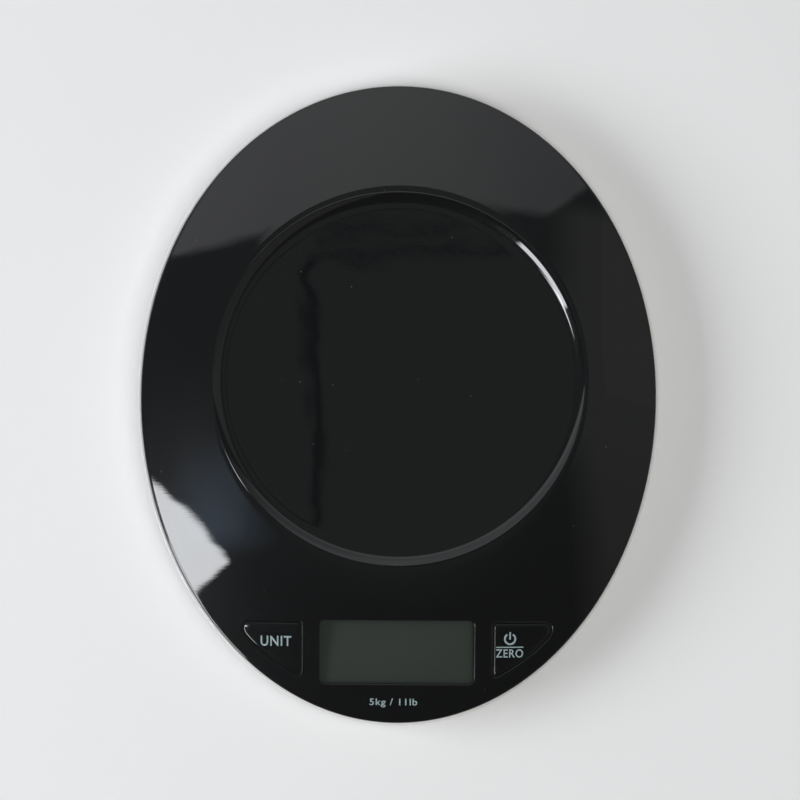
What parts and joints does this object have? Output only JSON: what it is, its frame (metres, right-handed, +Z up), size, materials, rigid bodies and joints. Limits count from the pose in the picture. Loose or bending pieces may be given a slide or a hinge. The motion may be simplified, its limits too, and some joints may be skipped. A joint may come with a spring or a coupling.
{
  "type": "kitchen scale",
  "caption": "Egg-shaped electronic kitchen scale with a glossy black platform, round bowl recess, display, unit and power keys and a white base tray.",
  "frame": {"origin": "centre of the footprint, on the surface that the feet stand on", "axes": "+X to the user's right, +Y from the display towards the back, +Z up through the platform"},
  "size_m": [0.1914, 0.236, 0.032],
  "materials": {
    "white_plastic": "satin white moulded plastic",
    "foot_rubber": "soft black rubber",
    "battery_wrap": "plain printed sleeve, no marks",
    "nickel": "nickel-plated spring steel",
    "cell_aluminium": "milled aluminium",
    "gauge_resin": "white silicone coating",
    "plate_steel": "zinc-plated pressed steel",
    "screw_steel": "zinc-plated",
    "black_gloss": "polished black moulded plastic",
    "clear_pane": "clear pane",
    "display_glass": "grey-green display glass with dark back",
    "white_matte": "matt white",
    "grey_rubber": "layered conductive rubber",
    "board_green": "solder-mask green",
    "black_epoxy": "black epoxy and phenolic",
    "crystal_can": "tinned can",
    "wire_red": "insulation",
    "wire_black": "insulation",
    "wire_white": "insulation",
    "wire_green": "insulation"
  },
  "bodies": {
    "base": {"base_shell": "white_plastic", "foot_front_left": "foot_rubber", "foot_front_right": "foot_rubber", "foot_back_left": "foot_rubber", "foot_back_right": "foot_rubber", "battery_left": "battery_wrap", "battery_right": "battery_wrap", "positive_contact": "nickel", "negative_contact": "nickel", "bridge_contact": "nickel", "load_cell": "cell_aluminium", "gauge_coating_top": "gauge_resin", "gauge_coating_bottom": "gauge_resin", "base_spacer": "cell_aluminium", "cell_screw_base_1": "screw_steel", "cell_screw_base_2": "screw_steel", "battery_wire_red": "wire_red", "battery_wire_black": "wire_black", "cell_wire_red": "wire_red", "cell_wire_black": "wire_black", "cell_wire_white": "wire_white", "cell_wire_green": "wire_green"},
    "platform": {"top_cover": "black_gloss", "display_window": "clear_pane", "lcd_panel": "display_glass", "lcd_frame": "white_matte", "zebra_front": "grey_rubber", "zebra_back": "grey_rubber", "main_board": "board_green", "processor_blob": "black_epoxy", "crystal": "crystal_can", "capacitor": "black_epoxy", "unit_switch": "black_epoxy", "power_switch": "black_epoxy", "board_screw_1": "screw_steel", "board_screw_2": "screw_steel", "board_screw_3": "screw_steel", "board_screw_4": "screw_steel", "load_plate": "plate_steel", "platform_spacer": "cell_aluminium", "cell_screw_top_1": "screw_steel", "cell_screw_top_2": "screw_steel", "plate_screw_1": "screw_steel", "plate_screw_2": "screw_steel", "plate_screw_3": "screw_steel", "plate_screw_4": "screw_steel"},
    "battery_lid": {"battery_door": "white_plastic"},
    "unit_button": {"unit_key": "black_gloss"},
    "power_button": {"power_key": "black_gloss"},
    "unit_stalk": {"unit_plunger": "white_matte"},
    "power_stalk": {"power_plunger": "white_matte"}
  },
  "joints": [
    {"name": "platform_travel", "type": "slide", "parent": "base", "child": "platform", "axis": [0, 0, 1], "range_m": [-0.0006, 0], "stiffness_N_per_m": 100000, "springref_m": 0.00003, "deforming": ["load_cell", "battery_wire_red", "battery_wire_black", "cell_wire_red", "cell_wire_black", "cell_wire_white", "cell_wire_green"]},
    {"name": "unit_press", "type": "slide", "parent": "platform", "child": "unit_button", "axis": [0, 0, 1], "range_m": [-0.0005, 0], "stiffness_N_per_m": 4000},
    {"name": "power_press", "type": "slide", "parent": "platform", "child": "power_button", "axis": [0, 0, 1], "range_m": [-0.0005, 0], "stiffness_N_per_m": 4000},
    {"name": "unit_plunge", "type": "slide", "parent": "platform", "child": "unit_stalk", "axis": [0, 0, 1], "range_m": [-0.0005, 0]},
    {"name": "power_plunge", "type": "slide", "parent": "platform", "child": "power_stalk", "axis": [0, 0, 1], "range_m": [-0.0005, 0]},
    {"name": "battery_lid_swing", "type": "hinge", "parent": "base", "child": "battery_lid", "pos_m": [0.034, 0.03805, 0.002], "axis": [1, 0, 0], "range_deg": [0, 75]}
  ],
  "couplings": [
    {"joint": "unit_plunge", "follows": "unit_press", "ratio": 1},
    {"joint": "power_plunge", "follows": "power_press", "ratio": 1}
  ]
}
